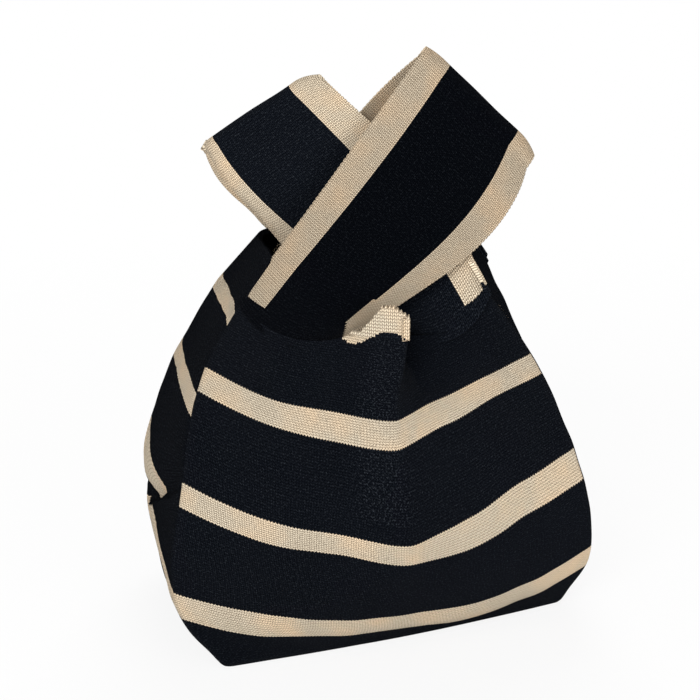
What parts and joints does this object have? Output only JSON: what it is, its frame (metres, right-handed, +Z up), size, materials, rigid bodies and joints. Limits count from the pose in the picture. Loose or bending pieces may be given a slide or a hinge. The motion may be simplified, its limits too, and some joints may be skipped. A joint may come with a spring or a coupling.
{
  "type": "knitted two-strap bag",
  "caption": "Soft striped knitted bag, standing filled, with one wide strap drawn through the other to close the mouth.",
  "frame": {"origin": "on the surface that the bag stands on, 5 mm left of the middle of the base and under the middle of the body", "axes": "+X to the right along the front, +Y from the front to the back, +Z up"},
  "size_m": [0.211, 0.1504, 0.2726],
  "materials": {
    "black_knit": "matte knit",
    "cream_knit": "matte knit"
  },
  "bodies": {
    "bag": {"base_panel": "black_knit", "front_black_1": "black_knit", "front_black_2": "black_knit", "front_black_3": "black_knit", "front_black_4": "black_knit", "back_black_1": "black_knit", "back_black_2": "black_knit", "back_black_3": "black_knit", "back_black_4": "black_knit", "left_gusset_black_1": "black_knit", "left_gusset_black_2": "black_knit", "left_gusset_black_3": "black_knit", "left_gusset_black_4": "black_knit", "left_gusset_black_5": "black_knit", "right_gusset_black_1": "black_knit", "right_gusset_black_2": "black_knit", "right_gusset_black_3": "black_knit", "right_gusset_black_4": "black_knit", "right_gusset_black_5": "black_knit", "front_stripe_1": "cream_knit", "front_stripe_2": "cream_knit", "front_stripe_3": "cream_knit", "front_mouth_border": "cream_knit", "back_stripe_1": "cream_knit", "back_stripe_2": "cream_knit", "back_stripe_3": "cream_knit", "back_mouth_border": "cream_knit", "left_gusset_stripe_1": "cream_knit", "left_gusset_stripe_2": "cream_knit", "left_gusset_stripe_3": "cream_knit", "left_gusset_stripe_4": "cream_knit", "right_gusset_stripe_1": "cream_knit", "right_gusset_stripe_2": "cream_knit", "right_gusset_stripe_3": "cream_knit", "right_gusset_stripe_4": "cream_knit"},
    "left_strap": {"left_strap_outer_border": "cream_knit", "left_strap_centre": "black_knit", "left_strap_inner_border": "cream_knit"},
    "right_strap": {"right_strap_outer_border": "cream_knit", "right_strap_centre": "black_knit", "right_strap_inner_border": "cream_knit"}
  },
  "joints": [
    {"name": "left_strap_swing", "type": "hinge", "parent": "bag", "child": "left_strap", "pos_m": [-0.02406, 0.00736, 0.18924], "axis": [-0.2924, -0.9563, 0], "range_deg": [0, 10]},
    {"name": "right_strap_swing", "type": "hinge", "parent": "bag", "child": "right_strap", "pos_m": [0.02485, -0.0076, 0.17759], "axis": [0.2924, 0.9563, 0], "range_deg": [0, 10]}
  ]
}
